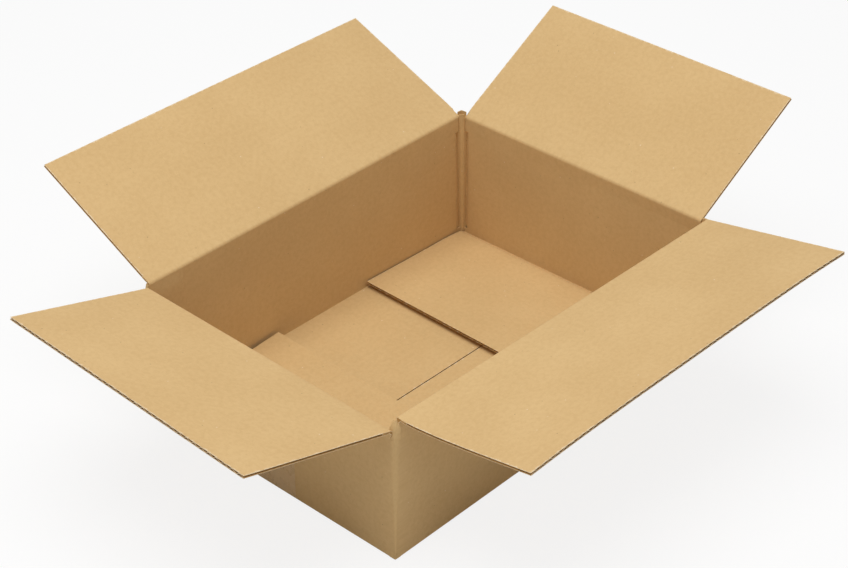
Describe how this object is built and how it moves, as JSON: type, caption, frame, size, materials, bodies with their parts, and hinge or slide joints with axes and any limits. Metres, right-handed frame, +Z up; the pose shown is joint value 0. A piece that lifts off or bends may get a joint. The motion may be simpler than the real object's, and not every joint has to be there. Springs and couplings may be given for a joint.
{
  "type": "cardboard box",
  "caption": "Open slotted carton of corrugated board, with top flaps bent outwards on scored creases, a taped bottom seam and a glued side joint.",
  "frame": {"origin": "middle of the footprint, on the surface the carton stands on", "axes": "+Z up out of the open top, +X along the long walls, -Y towards the front long wall"},
  "size_m": [0.5176, 0.438, 0.1546],
  "materials": {
    "kraft_board": "matte kraft liner with fine fibres",
    "parcel_tape": "thin film, slightly glossy"
  },
  "bodies": {
    "carton": {"carton_body": "kraft_board", "bottom_tape": "parcel_tape"},
    "flap_front": {"top_flap_front": "kraft_board"},
    "flap_back": {"top_flap_back": "kraft_board"},
    "flap_left": {"top_flap_left": "kraft_board"},
    "flap_right": {"top_flap_right": "kraft_board"}
  },
  "joints": [
    {"name": "front_flap_crease", "type": "hinge", "parent": "carton", "child": "flap_front", "pos_m": [0, -0.11265, 0.10295], "axis": [1, 0, 0], "range_deg": [-169, 71]},
    {"name": "back_flap_crease", "type": "hinge", "parent": "carton", "child": "flap_back", "pos_m": [0, 0.11265, 0.10295], "axis": [-1, 0, 0], "range_deg": [-156, 84]},
    {"name": "left_flap_crease", "type": "hinge", "parent": "carton", "child": "flap_left", "pos_m": [-0.15515, 0, 0.09965], "axis": [0, -1, 0], "range_deg": [-164.5, 75.5]},
    {"name": "right_flap_crease", "type": "hinge", "parent": "carton", "child": "flap_right", "pos_m": [0.15515, 0, 0.09965], "axis": [0, 1, 0], "range_deg": [-152, 88]}
  ]
}
